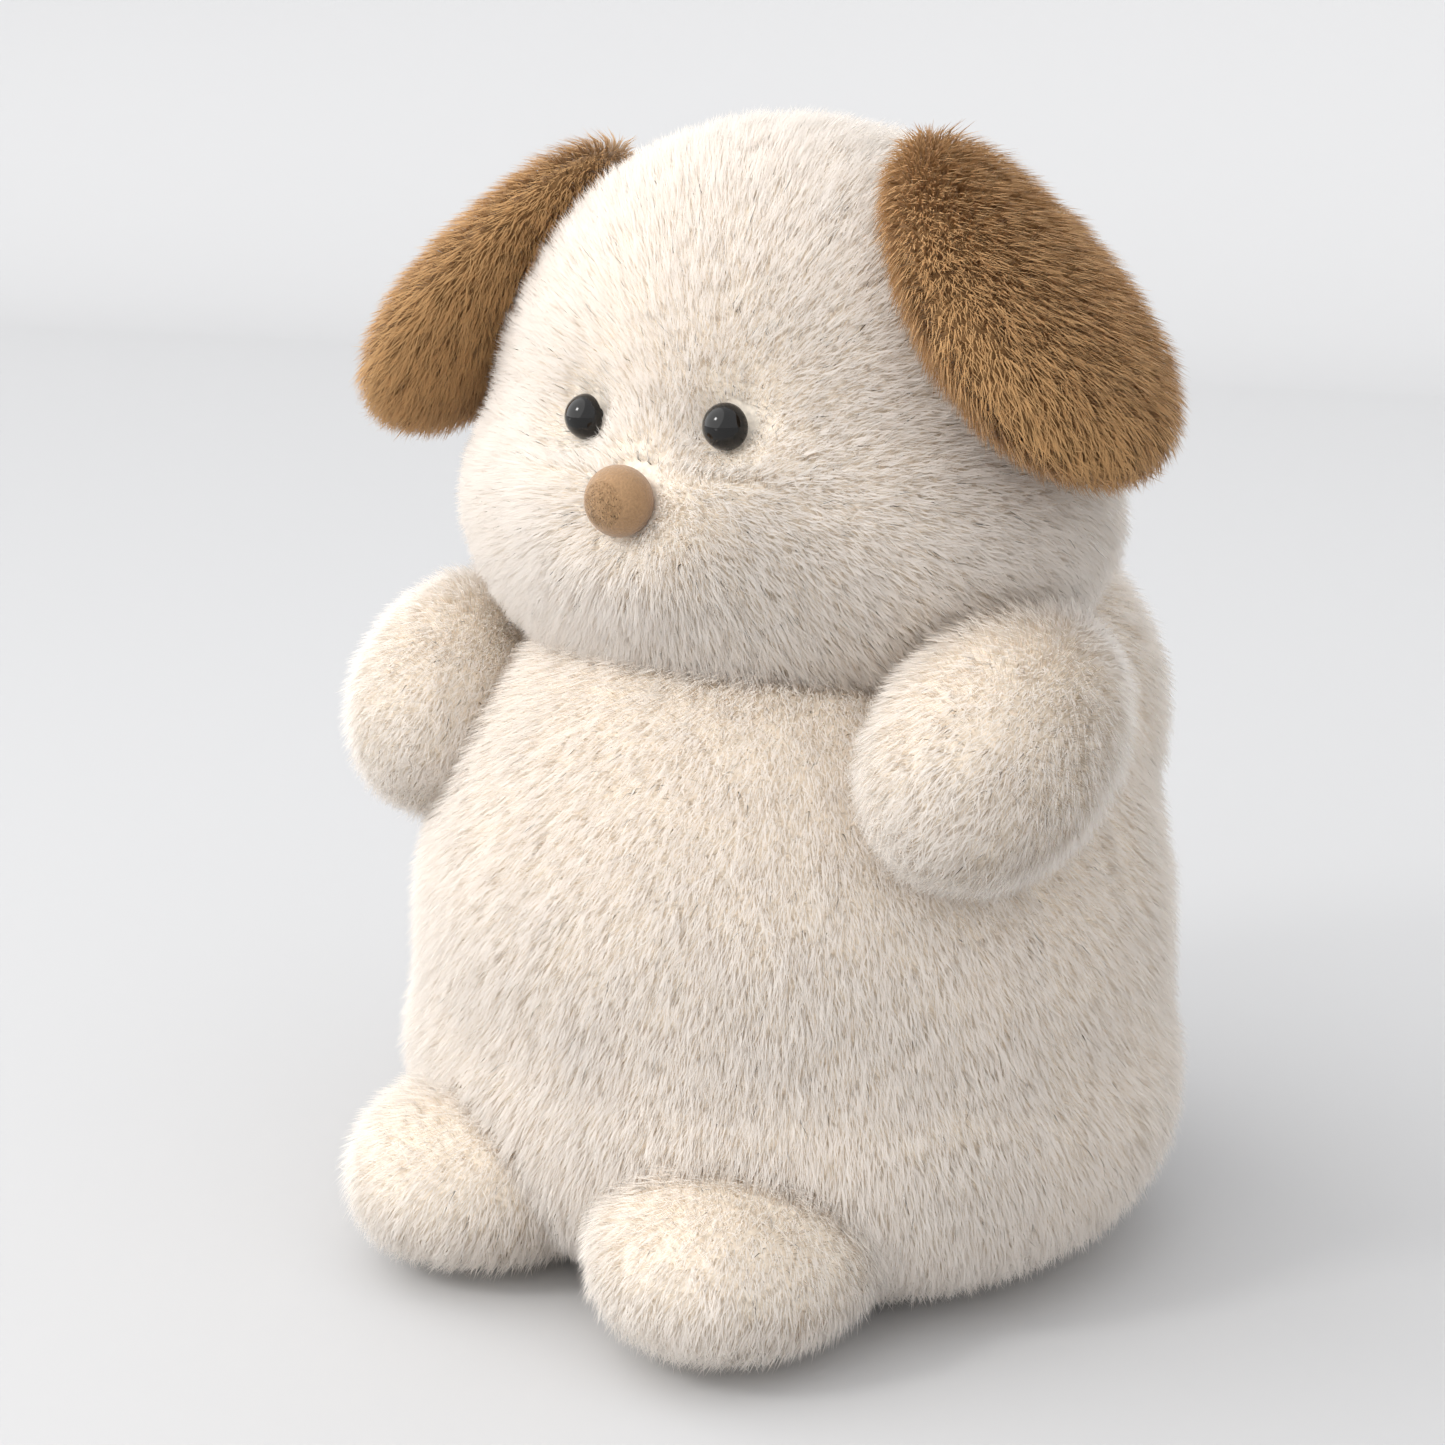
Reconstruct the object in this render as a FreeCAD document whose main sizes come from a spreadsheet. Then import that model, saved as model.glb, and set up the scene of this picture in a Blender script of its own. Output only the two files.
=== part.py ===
import FreeCAD, Part
import math
import os

# Seated plush dog, built the way a stuffed toy is built: cloth panels, stuffing, plastic
# eyes and a velour nose. The dog faces -Y, +X is its left side, +Z is up. Sizes are in mm.

V = FreeCAD.Vector

doc = FreeCAD.newDocument("plush_dog")
sheet = doc.addObject("Spreadsheet::Sheet", "Sizes")
row_count = 0


def put(alias, value):
    """Writes one driving size into the sheet under a word that expressions can use."""
    global row_count
    row_count += 1
    sheet.set(f"A{row_count}", alias)
    sheet.set(f"B{row_count}", str(value))
    sheet.setAlias(f"B{row_count}", alias)


# Every stuffed lobe: centre x, y, z, then radius along its own X, Y and Z, then its tilt
# about X, about Y and about Z in degrees. The pile adds about 4 mm to each of these. Limbs
# on the right are turned half round, so own +X is the outer side of every limb.
LOBES = {
    "belly": (0, 13, 90, 110, 101, 103, 0, 0, 0),
    "seat": (0, 13, 50, 112, 102, 60, 0, 0, 0),
    "hump": (0, 42, 150, 95, 70, 67, 0, 0, 0),
    "skull": (0, 12, 236, 86, 64, 73, 0, 0, 0),
    "cheek": (0, 8, 205, 93, 72, 58, 0, 0, 0),
    "nose": (2.5, -65.5, 215, 9.8, 9, 9.8, 0, 0, 0),
    "left_ear": (84.5, -10, 265, 15, 36, 52, -8, -42, -6),
    "right_ear": (-84.5, -10, 265, 15, 36, 52, 8, -42, 186),
    "left_arm": (93, -29, 158, 28, 28, 39, -52, 14, 0),
    "right_arm": (-89, -29, 149, 28, 28, 39, 52, 14, 180),
    "left_leg": (42, -66, 26, 37, 44, 26, 0, 0, 8),
    "right_leg": (-42, -66, 26, 37, 44, 26, 0, 0, 172),
    "tail": (0, 114, 38, 15, 16, 15, 0, 0, 0),
    "pellets": (0, 13, 30, 48, 44, 18, 0, 0, 0),
}
FIELDS = ("cx", "cy", "cz", "rx", "ry", "rz", "tilt_x", "tilt_y", "tilt_z")
for lobe, numbers in LOBES.items():
    for field, number in zip(FIELDS, numbers):
        put(f"{lobe}_{field}", number)

SIZES = {
    "cloth": 2.5,           # backing cloth and its dense pile root, body and head
    "limb_cloth": 2.0,      # the same on ears, limbs and tail
    "nose_cloth": 1.2,      # short velour
    "bag_cloth": 0.8,       # woven pellet bag
    "ease": 0.3,            # air between a cover and its filling
    "sit_gap": 1.0,         # air between a limb and the body it rests on
    "turn_gap": 3.5,        # air round the head, which is not quite round and turns
    "arm_head_gap": 5.0,    # air between a shoulder and the cheek above it
    "foot_gap": 0.4,        # the feet stand just clear of the table
    "front_angle": 145.0,   # width of the front body panel round the body
    "face_angle": 130.0,    # width of the face panel round the head
    "side_angle": 70.0,     # width of each side panel of the head
    "sole_height": 9.0,     # where the sole of a foot meets its upper
    "seam_shift": 1.2,      # a limb's long seam lies this far off its middle
    "crown_shift": 3.0,     # upright seams meet this far behind the crown
    "eye_radius": 6.0,      # safety eyes, 12 mm across
    "eye_rise": 5.2,        # height of the eye's dome
    "eye_rim": 0.8,         # straight rim under the dome
    "shank_radius": 1.9,
    "shank_length": 14.0,
    "eye_spread": 22.5,     # each eye from the middle of the pair
    "eye_middle": 3.0,      # hand sewing leaves the pair this far to the left
    "eye_y": -50.7,
    "eye_z": 234.0,
    "eye_out": 0.7,         # the eye's flat back stands off the cloth
    "dimple_radius": 14.0,  # of the ball that presses the cloth in round each eye
    "dimple_reach": 12.3,   # the ball's middle in front of the eye's back
    "washer_radius": 7.0,
    "washer_thickness": 1.4,
    "washer_depth": 6.0,    # under the eye's back
    "hole_ease": 0.3,
    "thread_radius": 0.5,
    "thread_depth": 11.0,   # the pull thread's depth behind the eyes
    "gather_z": 156.0,      # height of the gathered neck opening
    "closing_low": 72.0,    # ends of the hand-closed seam up the back
    "closing_high": 118.0,
    "reach": 400.0,         # longer than the toy, for the blocks that split panels
}
for alias, number in SIZES.items():
    put(alias, number)
doc.recompute()


def size(alias):
    """Reads a size from the sheet as a plain number."""
    return float(sheet.get(alias))


def lobe_rotation(lobe):
    """Turn of a lobe: about its own Z first, then Y, then X."""
    about_x = FreeCAD.Rotation(V(1, 0, 0), size(f"{lobe}_tilt_x"))
    about_y = FreeCAD.Rotation(V(0, 1, 0), size(f"{lobe}_tilt_y"))
    about_z = FreeCAD.Rotation(V(0, 0, 1), size(f"{lobe}_tilt_z"))
    return about_z * about_y * about_x


def ellipsoid(name, lobe, grow="0"):
    """A lobe's ellipsoid, with `grow` (an expression in mm) added to each radius."""
    solid = doc.addObject("Part::Ellipsoid", name)
    for angle, degrees in (("Angle1", -90), ("Angle2", 90), ("Angle3", 360)):
        setattr(solid, angle, degrees)
    for field, radius in (("rz", "Radius1"), ("rx", "Radius2"), ("ry", "Radius3")):
        solid.setExpression(radius, f"(Sizes.{lobe}_{field} + {grow}) * 1 mm")
    solid.Placement = FreeCAD.Placement(V(0, 0, 0), lobe_rotation(lobe))
    for axis in "xyz":
        solid.setExpression(f"Placement.Base.{axis}", f"Sizes.{lobe}_c{axis} * 1 mm")
    return solid


def fuse(name, parts):
    solid = doc.addObject("Part::MultiFuse", name)
    solid.Shapes = parts
    return solid


def cut(name, base, tools):
    """Takes each tool away from the base; several tools are joined first."""
    solid = doc.addObject("Part::Cut", name)
    solid.Base = base
    solid.Tool = tools[0] if len(tools) == 1 else fuse(f"{name}_tools", tools)
    return solid


def common(name, first, second):
    solid = doc.addObject("Part::Common", name)
    solid.Base = first
    solid.Tool = second
    return solid


def block(name, low_z, high_z):
    """A wide level slab between two heights given as expressions."""
    slab = doc.addObject("Part::Box", name)
    slab.setExpression("Length", "Sizes.reach * 1 mm")
    slab.setExpression("Width", "Sizes.reach * 1 mm")
    slab.setExpression("Height", f"({high_z} - ({low_z})) * 1 mm")
    slab.setExpression("Placement.Base.x", "-Sizes.reach / 2 * 1 mm")
    slab.setExpression("Placement.Base.y", "-Sizes.reach / 2 * 1 mm")
    slab.setExpression("Placement.Base.z", f"({low_z}) * 1 mm")
    return slab


def wedge(name, lobe, start, angle):
    """A slice of a tall drum round a lobe's upright axis; both angles are expressions and
    start counts anticlockwise from +X."""
    slice_ = doc.addObject("Part::Cylinder", name)
    slice_.setExpression("Radius", "Sizes.reach / 2 * 1 mm")
    slice_.setExpression("Height", "Sizes.reach * 1 mm")
    slice_.setExpression("Angle", f"({angle}) * 1 deg")
    slice_.setExpression("Placement.Base.x", f"Sizes.{lobe}_cx * 1 mm")
    slice_.setExpression("Placement.Base.y", f"(Sizes.{lobe}_cy + Sizes.crown_shift) * 1 mm")
    slice_.setExpression("Placement.Rotation.Angle", f"({start}) * 1 deg")
    return slice_


def half(name, lobe, side):
    """A block on one side of a plane just off a lobe's own YZ plane: side is +1 or -1."""
    reach = size("reach") / 2
    box = doc.addObject("Part::Box", name)
    for edge in ("Length", "Width", "Height"):
        box.setExpression(edge, "Sizes.reach / 2 * 1 mm")
    turn = lobe_rotation(lobe)
    centre = V(*(size(f"{lobe}_c{axis}") for axis in "xyz"))
    shift = size("seam_shift")
    corner = V(shift if side > 0 else shift - reach, -reach / 2, -reach / 2)
    box.Placement = FreeCAD.Placement(centre + turn.multVec(corner), turn)
    return box


def node(solid, label):
    solid.Label = label
    NODES.append(solid)
    return solid


NODES = []


# ---- body: three upright panels, a base panel, stuffing and a pellet bag ----

def torso_form(name, grow, low_z):
    """Belly, seat and upper back as one lobe, cut flat at the table and hollowed for the
    head. `grow` moves every face outwards except the table, which low_z sets."""
    lobes = [ellipsoid(f"{name}_{lobe}", lobe, grow) for lobe in ("belly", "seat", "hump")]
    joined = fuse(f"{name}_lobes", lobes)
    head_room = ellipsoid(f"{name}_head_room", "cheek", f"Sizes.turn_gap - ({grow})")
    below = block(f"{name}_below", "-Sizes.reach / 4", low_z)
    return cut(name, joined, [head_room, below])


def build_body():
    whole = torso_form("torso_outside", "0", "0")
    inside = torso_form("torso_inside", "-Sizes.cloth", "Sizes.cloth")
    filling = torso_form("torso_filling", "-Sizes.cloth - Sizes.ease", "Sizes.cloth + Sizes.ease")
    shell = cut("torso_shell", whole, [inside])
    base_slab = block("base_slab", "0", "Sizes.cloth")
    upright = cut("torso_upright", shell, [base_slab])
    node(common("base_panel", whole, base_slab), "body_base_panel")
    front_start = "270 - Sizes.front_angle / 2"
    back_angle = "(360 - Sizes.front_angle) / 2"
    slices = (
        ("body_front_panel", front_start, "Sizes.front_angle"),
        ("body_back_left_panel", "270 + Sizes.front_angle / 2", back_angle),
        ("body_back_right_panel", "90", back_angle),
    )
    for label, start, angle in slices:
        drum = wedge(f"{label}_slice", "belly", start, angle)
        node(common(f"{label}_cloth", upright, drum), label)
    bag = ellipsoid("bag_outside", "pellets")
    bag_inside = ellipsoid("bag_inside", "pellets", "-Sizes.bag_cloth")
    bag_room = ellipsoid("bag_room", "pellets", "Sizes.ease")
    node(cut("bag_cloth_form", bag, [bag_inside]), "pellet_bag")
    fill_ease = "-Sizes.bag_cloth - Sizes.ease"
    node(ellipsoid("pellet_form", "pellets", fill_ease), "pellet_fill")
    node(cut("torso_stuffing", filling, [bag_room]), "body_stuffing")


# ---- head: four panels, stuffing, eyes on shanks, nose ----

def head_form(name, grow):
    lobes = [ellipsoid(f"{name}_{lobe}", lobe, grow) for lobe in ("skull", "cheek")]
    return fuse(name, lobes)


def eye_placement(side, depth):
    """A point `depth` mm behind an eye's flat back, with local Z out of the face."""
    across = size("eye_middle") + side * size("eye_spread")
    outward = V(across / size("skull_rx") ** 2,
                (size("eye_y") - size("skull_cy")) / size("skull_ry") ** 2,
                (size("eye_z") - size("skull_cz")) / size("skull_rz") ** 2)
    outward.normalize()
    seat = V(across, size("eye_y"), size("eye_z"))
    stand = size("eye_out") - depth
    return FreeCAD.Placement(seat + outward * stand, FreeCAD.Rotation(V(0, 0, 1), outward))


def dimpled_head(name, grow, sink):
    """The head's form grown by one expression, less a ball in front of each eye that is
    larger by the other, so that the cloth keeps its thickness round the dimples."""
    balls = []
    for word, side in (("left", 1), ("right", -1)):
        ball = doc.addObject("Part::Sphere", f"{name}_{word}_dimple")
        ball.setExpression("Radius", f"(Sizes.dimple_radius + {sink}) * 1 mm")
        ball.Placement.Base = eye_placement(side, -size("dimple_reach")).Base
        balls.append(ball)
    return cut(name, head_form(f"{name}_full", grow), balls)


def revolved_body(name, points, dome_middle, placement):
    """A PartDesign body turned once round its own Z from a closed outline. Points are
    (radius, height), joined by lines; the last closes on the first by a line, or by a
    round dome through dome_middle where that is given."""
    body = doc.addObject("PartDesign::Body", name)
    sketch = body.newObject("Sketcher::SketchObject", f"{name}_outline")
    planes = {item.Role: item for item in body.Origin.OriginFeatures}
    sketch.AttachmentSupport = [(planes["XZ_Plane"], "")]
    sketch.MapMode = "FlatFace"
    corners = [V(radius, height, 0) for radius, height in points]
    for start, end in zip(corners, corners[1:]):
        sketch.addGeometry(Part.LineSegment(start, end), False)
    closing = Part.LineSegment(corners[-1], corners[0])
    if dome_middle:
        closing = Part.Arc(corners[-1], V(*dome_middle, 0), corners[0])
    sketch.addGeometry(closing, False)
    turned = body.newObject("PartDesign::Revolution", f"{name}_turned")
    turned.Profile = sketch
    turned.ReferenceAxis = (planes["Z_Axis"], [""])
    turned.Angle = 360
    body.Tip = turned
    body.Placement = placement
    return body


def rod(name, radius, length, placement):
    """A plain cylinder; radius and length are expressions."""
    solid = doc.addObject("Part::Cylinder", name)
    solid.setExpression("Radius", f"({radius}) * 1 mm")
    solid.setExpression("Height", f"({length}) * 1 mm")
    solid.Placement = placement
    return solid


def build_eye(word, side):
    """One safety eye, its washer, and the room that both need inside the head."""
    rim = size("eye_rim")
    shank = size("shank_radius")
    radius, rise = size("eye_radius"), size("eye_rise")
    curve = (radius ** 2 + rise ** 2) / (2 * rise)
    half_way = math.asin(radius / curve) / 2
    middle = (curve * math.sin(half_way), rim + rise - curve * (1 - math.cos(half_way)))
    profile = [(0, rim + rise), (0, -size("shank_length")), (shank, -size("shank_length")),
               (shank, 0), (radius, 0), (radius, rim)]
    eye = revolved_body(f"{word}_eye_turned", profile, middle, eye_placement(side, 0))
    node(eye, f"eye_{word}")
    inner = shank + size("hole_ease")
    outer = size("washer_radius")
    thick = size("washer_thickness")
    ring = [(inner, 0), (outer, 0), (outer, thick), (inner, thick)]
    washer_at = eye_placement(side, size("washer_depth") + thick)
    washer = revolved_body(f"{word}_washer_turned", ring, None, washer_at)
    node(washer, f"eye_washer_{word}")
    hole = rod(f"{word}_shank_room", "Sizes.shank_radius + Sizes.hole_ease",
               "Sizes.shank_length + 2", eye_placement(side, size("shank_length") + 1))
    washer_room = rod(f"{word}_washer_room", "Sizes.washer_radius + Sizes.ease",
                      "Sizes.washer_thickness + 2 * Sizes.ease",
                      eye_placement(side, size("washer_depth") + thick + size("ease")))
    return [hole, washer_room]


def pull_thread(name, grow):
    """The thread that pulls the eyes together inside the head, as one straight rod."""
    start = V(size("eye_middle") - size("eye_spread") + size("washer_radius") / 2,
              size("eye_y") + size("thread_depth") + size("shank_length"), size("eye_z"))
    placement = FreeCAD.Placement(start, FreeCAD.Rotation(V(0, 0, 1), V(1, 0, 0)))
    length = "2 * Sizes.eye_spread - Sizes.washer_radius"
    return rod(name, f"Sizes.thread_radius + {grow}", length, placement)


def build_head():
    whole = dimpled_head("head_outside", "0", "0")
    inside = dimpled_head("head_inside", "-Sizes.cloth", "Sizes.cloth")
    filling = dimpled_head("head_filling", "-Sizes.cloth - Sizes.ease", "Sizes.cloth + Sizes.ease")
    rooms = build_eye("left", 1) + build_eye("right", -1)
    shell = cut("head_shell", whole, [inside] + rooms)
    back_angle = "(360 - Sizes.face_angle - 2 * Sizes.side_angle)"
    slices = (
        ("head_face_panel", "270 - Sizes.face_angle / 2", "Sizes.face_angle"),
        ("head_left_panel", "270 + Sizes.face_angle / 2", "Sizes.side_angle"),
        ("head_back_panel", f"90 - {back_angle} / 2", back_angle),
        ("head_right_panel", "270 - Sizes.face_angle / 2 - Sizes.side_angle", "Sizes.side_angle"),
    )
    for label, start, angle in slices:
        drum = wedge(f"{label}_slice", "skull", start, angle)
        node(common(f"{label}_cloth", shell, drum), label)
    thread_room = pull_thread("thread_room", "Sizes.ease")
    node(pull_thread("thread_form", "0"), "eye_pull_thread")
    node(cut("head_stuffed", filling, rooms + [thread_room]), "head_stuffing")
    build_nose()


def build_nose():
    """A small stuffed velour ball, sewn flat against the face."""
    layers = (("outside", "0"), ("inside", "-Sizes.nose_cloth"),
              ("filling", "-Sizes.nose_cloth - Sizes.ease"))
    forms = {}
    for word, grow in layers:
        ball = ellipsoid(f"nose_{word}_ball", "nose", grow)
        face = head_form(f"nose_{word}_face", f"Sizes.ease - ({grow})")
        forms[word] = cut(f"nose_{word}", ball, [face])
    node(cut("nose_cloth_form", forms["outside"], [forms["inside"]]), "nose_cover")
    node(forms["filling"], "nose_stuffing")


# ---- limbs: each is a stuffed lobe shaped to the body that it is sewn to ----

def limb_form(name, lobe, grow, rests_on):
    """A limb's lobe with the room of whatever it rests on taken away. `grow` is zero for
    the cover's outside and negative further in."""
    tools = []
    for other, gap in rests_on:
        tools.append(ellipsoid(f"{name}_{other}_room", other, f"{gap} - ({grow})"))
    if lobe.endswith("_leg"):
        floor = f"Sizes.foot_gap - ({grow})"
        tools.append(block(f"{name}_floor", "-Sizes.reach / 4", floor))
    return cut(name, ellipsoid(f"{name}_lobe", lobe, grow), tools)


def build_limb(lobe, rests_on, panels):
    """Two cover panels and the filling. `panels` names the panels on the lobe's own +X and
    -X side."""
    thick = "Sizes.limb_cloth"
    outside = limb_form(f"{lobe}_outside", lobe, "0", rests_on)
    inside = limb_form(f"{lobe}_inside", lobe, f"-{thick}", rests_on)
    filling = limb_form(f"{lobe}_filling", lobe, f"-{thick} - Sizes.ease", rests_on)
    shell = cut(f"{lobe}_shell", outside, [inside])
    if lobe.endswith("_leg"):
        sole = block(f"{lobe}_sole_slab", "0", "Sizes.sole_height")
        upper = block(f"{lobe}_upper_slab", "Sizes.sole_height", "Sizes.reach / 4")
        sides = (upper, sole)
    else:
        sides = (half(f"{lobe}_plus_half", lobe, 1), half(f"{lobe}_minus_half", lobe, -1))
    for label, side in zip(panels, sides):
        node(common(f"{label}_cloth", shell, side), label)
    node(filling, f"{lobe}_stuffing")


def build_limbs():
    torso = [(lobe, "Sizes.sit_gap") for lobe in ("belly", "seat", "hump")]
    head = [(lobe, "Sizes.sit_gap") for lobe in ("skull", "cheek")]
    cheek = [("cheek", "Sizes.arm_head_gap")]
    build_limb("left_ear", head, ("left_ear_outer_panel", "left_ear_lining"))
    build_limb("right_ear", head, ("right_ear_outer_panel", "right_ear_lining"))
    build_limb("left_arm", torso + cheek, ("left_arm_outer_panel", "left_arm_inner_panel"))
    build_limb("right_arm", torso + cheek, ("right_arm_outer_panel", "right_arm_inner_panel"))
    build_limb("left_leg", torso, ("left_foot_upper_panel", "left_foot_sole"))
    build_limb("right_leg", torso, ("right_foot_upper_panel", "right_foot_sole"))
    build_limb("tail", torso, ("tail_left_panel", "tail_right_panel"))


# ---- threads that close the hand-sewn openings ----

def thread_along(label, curve, start, end):
    """A round thread swept along a curve between two of its parameters."""
    path = Part.Wire([curve.toShape(start, end)])
    at = curve.value(start)
    circle = Part.Circle(at, curve.tangent(start)[0], size("thread_radius"))
    profile = Part.Wire([circle.toShape()])
    solid = doc.addObject("Part::Feature", f"{label}_form")
    solid.Shape = path.makePipeShell([profile], True, True)
    solid.Placement = FreeCAD.Placement()
    return node(solid, label)


def build_threads():
    """The closing seam up the middle of the back, and the gathered opening of the neck."""
    lift = size("thread_radius") + size("ease")
    centre = V(0, size("belly_cy"), size("belly_cz"))
    tall, deep = size("belly_rz") + lift, size("belly_ry") + lift
    back = Part.Ellipse(centre + V(0, 0, tall), centre + V(0, deep, 0), centre)
    ends = [math.acos((size(word) - centre.z) / tall) for word in ("closing_high", "closing_low")]
    if back.value(ends[0]).y < centre.y:
        ends = [-angle for angle in reversed(ends)]
    thread_along("back_closing_thread", back, ends[0], ends[1])
    drop = (size("gather_z") - size("cheek_cz")) / (size("cheek_rz") + lift)
    shrink = math.sqrt(1 - drop ** 2)
    middle = V(size("cheek_cx"), size("cheek_cy"), size("gather_z"))
    wide = (size("cheek_rx") + lift) * shrink
    deep = (size("cheek_ry") + lift) * shrink
    ring = Part.Ellipse(middle + V(wide, 0, 0), middle + V(0, deep, 0), middle)
    thread_along("neck_gather_thread", ring, 0, 2 * math.pi)


def write_parts():
    """Recomputes, refuses anything broken, and writes one STEP file for each node."""
    doc.recompute()
    for item in doc.Objects:
        if "Invalid" in item.State or "Error" in item.State:
            raise RuntimeError(f"{item.Label} did not build: {item.State}")
    os.makedirs("parts", exist_ok=True)
    for item in NODES:
        shape = item.Shape
        if shape.isNull() or not shape.isValid() or len(shape.Solids) != 1:
            raise RuntimeError(f"{item.Label} is not one valid solid: {len(shape.Solids)} solids")
        shape.exportStep(f"parts/{item.Label}.step")
    print(len(NODES), "parts written")


build_body()
build_head()
build_limbs()
build_threads()
write_parts()
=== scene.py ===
import math

import bpy
import numpy as np
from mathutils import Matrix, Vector


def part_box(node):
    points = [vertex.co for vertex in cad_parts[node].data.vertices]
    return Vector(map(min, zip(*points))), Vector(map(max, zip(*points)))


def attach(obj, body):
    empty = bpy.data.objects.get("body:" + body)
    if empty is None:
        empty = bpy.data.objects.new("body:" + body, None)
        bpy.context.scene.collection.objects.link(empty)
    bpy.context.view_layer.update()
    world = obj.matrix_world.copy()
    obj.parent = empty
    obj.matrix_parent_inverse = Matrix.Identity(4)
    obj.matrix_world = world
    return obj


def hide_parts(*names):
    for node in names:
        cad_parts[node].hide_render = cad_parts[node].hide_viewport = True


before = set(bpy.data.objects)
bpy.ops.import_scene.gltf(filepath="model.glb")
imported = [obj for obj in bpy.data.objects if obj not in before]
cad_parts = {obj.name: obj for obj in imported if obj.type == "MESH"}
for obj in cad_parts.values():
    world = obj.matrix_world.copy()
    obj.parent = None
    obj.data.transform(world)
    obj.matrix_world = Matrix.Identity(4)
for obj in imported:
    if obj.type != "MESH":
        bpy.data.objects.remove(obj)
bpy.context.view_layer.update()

bl_info = {
    "name": "Plush Dog",
    "version": (1, 0, 0),
    "blender": (4, 5, 0),
    "location": "View3D > Sidebar > Plush Dog",
    "description": "Covers, pile, eyes and nose of a seated plush dog",
    "category": "Object",
}

# ---- the toy's lobes, in metres and degrees, as the CAD solids have them ----
# centre, radii along the lobe's own X, Y and Z, tilt about X, Y and Z

LOBES = {
    "belly": ((0, 0.013, 0.090), (0.110, 0.101, 0.103), (0, 0, 0)),
    "seat": ((0, 0.013, 0.050), (0.112, 0.102, 0.060), (0, 0, 0)),
    "hump": ((0, 0.042, 0.150), (0.095, 0.070, 0.067), (0, 0, 0)),
    "skull": ((0, 0.012, 0.236), (0.086, 0.064, 0.073), (0, 0, 0)),
    "cheek": ((0, 0.008, 0.205), (0.093, 0.072, 0.058), (0, 0, 0)),
    "nose": ((0.0025, -0.0655, 0.215), (0.0098, 0.0090, 0.0098), (0, 0, 0)),
    "left_ear": ((0.0845, -0.010, 0.265), (0.015, 0.036, 0.052), (-8, -42, -6)),
    "right_ear": ((-0.0845, -0.010, 0.265), (0.015, 0.036, 0.052), (-8, 42, 6)),
    "left_arm": ((0.093, -0.029, 0.158), (0.028, 0.028, 0.039), (-52, 14, 0)),
    "right_arm": ((-0.089, -0.029, 0.149), (0.028, 0.028, 0.039), (-52, -14, 0)),
    "left_leg": ((0.042, -0.066, 0.026), (0.037, 0.044, 0.026), (0, 0, 8)),
    "right_leg": ((-0.042, -0.066, 0.026), (0.037, 0.044, 0.026), (0, 0, -8)),
    "tail": ((0, 0.114, 0.038), (0.015, 0.016, 0.015), (0, 0, 0)),
}
TORSO_LOBES = ("belly", "seat", "hump")
HEAD_LOBES = ("skull", "cheek")
EYES = ("eye_left", "eye_right")

BODY_STRANDS = 340000
HEAD_STRANDS = 235000
NOSE_STRANDS = 14000
EAR_STRANDS = 30000
ARM_STRANDS = 25000
LEG_STRANDS = 27000
TAIL_STRANDS = 5000
MOST_STRANDS = 66000        # in one piece, at three triangles each

FRONT_PANEL_HALF_ANGLE = 72.5   # degrees either side of the middle of the front
FACE_PANEL_HALF_ANGLE = 65.0
CHEST_HEIGHT = 0.098        # where the front's upper pile meets its lower pile
HIP_HEIGHT = 0.012
WAIST_HEIGHT = 0.135
FLAT_BELOW = 0.009          # the seat's curve is pressed flat under this height
FLAT_AT = 0.002
SHORT_PILE_HEIGHT = 0.012   # the pile is shorter from here down to the table
EYE_CLEAR = 0.0058          # no pile is rooted nearer than this to an eye's middle
NOSE_CLEAR = 0.0090
NAP_FRONT = -0.072          # the nap stands on the nose in front of this


# ---- sizes and colours a user would change ----

def length(name, description, default):
    return bpy.props.FloatProperty(name=name, description=description, default=default,
                                   subtype="DISTANCE", unit="LENGTH", precision=5)


def colour(name, description, default):
    return bpy.props.FloatVectorProperty(name=name, description=description, default=default,
                                         size=3, min=0.0, max=1.0, subtype="COLOR")


class PileSettings(bpy.types.PropertyGroup):
    body_length: length("Body pile", "Length of the pile on body and limbs", 0.0090)
    face_length: length("Face pile", "Length of the pile on the head", 0.0082)
    ear_length: length("Ear pile", "Length of the pile on the ears", 0.0090)
    nap_length: length("Nose nap", "Length of the velour nap on the nose", 0.0012)
    strand_width: length("Strand width", "Width of a bundle of fibres at its root", 0.00034)
    cover_inset: length("Cover inset", "How far the cloth lies inside the CAD surface", 0.0018)
    density: bpy.props.FloatProperty(
        name="Density", description="Share of the full number of strands", default=1.0,
        min=0.05, max=1.0)


class ColourSettings(bpy.types.PropertyGroup):
    cream_tip: colour("Cream tip", "Tips of the cream pile", (0.975, 0.94, 0.90))
    # Darker and warmer than the tip: painted shade deep in the pile; also the colour of the backing
    # cloth under it.
    cream_root_painted_shade: colour("Cream root", "Roots of the cream pile", (0.95, 0.86, 0.74))
    brown_tip: colour("Brown tip", "Tips of the brown pile", (0.62, 0.375, 0.165))
    # Darker than the tip: painted shade deep in the pile; also the colour of the backing cloth under
    # it.
    brown_root_painted_shade: colour("Brown root", "Roots of the brown pile", (0.30, 0.165, 0.06))
    nose_tip: colour("Nose nap", "Nap of the velour nose", (0.56, 0.37, 0.20))
    # Darker than the nap: painted shade deep in the nap; also the colour of the nose ball under and
    # behind the nap.
    nose_root_painted_shade: colour("Nose ground", "Ground of the velour nose", (0.36, 0.21, 0.10))
    floor: colour("Floor", "Studio floor and backdrop", (0.50, 0.50, 0.503))


# ---- numpy helpers ----

def unit(rows):
    """Each row divided by its length."""
    return rows / np.maximum(np.linalg.norm(rows, axis=-1, keepdims=True), 1e-12)


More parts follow.
